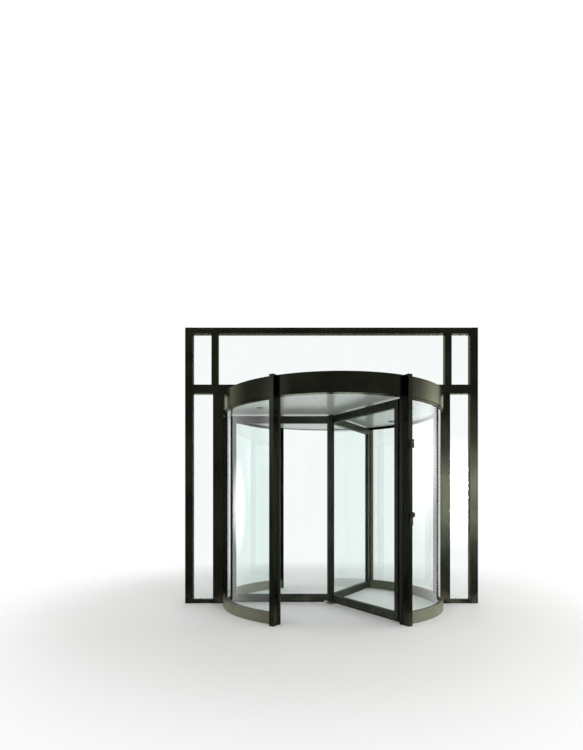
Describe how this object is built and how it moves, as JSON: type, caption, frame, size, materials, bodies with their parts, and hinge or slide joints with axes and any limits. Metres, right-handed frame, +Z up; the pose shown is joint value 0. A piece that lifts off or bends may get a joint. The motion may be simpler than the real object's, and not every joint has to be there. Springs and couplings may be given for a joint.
{
  "type": "revolving door",
  "caption": "Revolving door with glazed wings: a drum with curved glass walls and a flat canopy, set in a framed glass entrance screen.",
  "frame": {"origin": "centre of the drum on the floor", "axes": "+X along the screen, +Y to the outer side, +Z up"},
  "size_m": [3.42, 2.52, 3.22],
  "materials": {
    "frame_metal": "dark bronze anodised, satin",
    "wing_metal": "dark bronze anodised, satin",
    "base_metal": "bronze anodised sheet, brushed",
    "clear_glass": "clear, faint green",
    "screen_glass": "clear",
    "ceiling_white": "pale grey, gloss",
    "strip_rubber": "matte",
    "bristle": "dense bristle",
    "lamp_metal": "dark grey, satin",
    "dark_plastic": "matte black",
    "bearing_steel": "satin"
  },
  "bodies": {
    "surround": {"wall_base_left": "base_metal", "wall_base_right": "base_metal", "wall_heads": "frame_metal", "wall_glass_left_inner": "clear_glass", "wall_glass_left_outer": "clear_glass", "wall_glass_right_inner": "clear_glass", "wall_glass_right_outer": "clear_glass", "post_front_left": "frame_metal", "post_front_right": "frame_metal", "post_rear_left": "frame_metal", "post_rear_right": "frame_metal", "post_strips": "strip_rubber", "fascia_left": "frame_metal", "fascia_right": "frame_metal", "fascia_front": "frame_metal", "fascia_rear": "frame_metal", "ceiling": "ceiling_white", "canopy_roof": "frame_metal", "downlights": "lamp_metal", "bearing_beam": "bearing_steel", "floor_bearing": "bearing_steel", "jamb_left": "frame_metal", "jamb_right": "frame_metal", "head_rail": "frame_metal", "transom": "frame_metal", "closing_strip": "frame_metal", "mullions": "frame_metal", "side_post_left": "frame_metal", "side_post_right": "frame_metal", "sills": "frame_metal", "side_lights": "screen_glass", "top_lights": "screen_glass", "stop_button": "dark_plastic", "sensor_box": "dark_plastic"},
    "rotor": {"centre_column": "wing_metal", "wing_a_top_rail": "wing_metal", "wing_a_bottom_rail": "wing_metal", "wing_a_stile": "wing_metal", "wing_a_glass": "clear_glass", "wing_b_top_rail": "wing_metal", "wing_b_bottom_rail": "wing_metal", "wing_b_stile": "wing_metal", "wing_b_glass": "clear_glass", "wing_c_top_rail": "wing_metal", "wing_c_bottom_rail": "wing_metal", "wing_c_stile": "wing_metal", "wing_c_glass": "clear_glass", "brush_seals": "bristle"}
  },
  "joints": [
    {"name": "rotor_spin", "type": "hinge", "parent": "surround", "child": "rotor", "pos_m": [0, 0, 0], "axis": [0, 0, 1], "continuous": true}
  ]
}
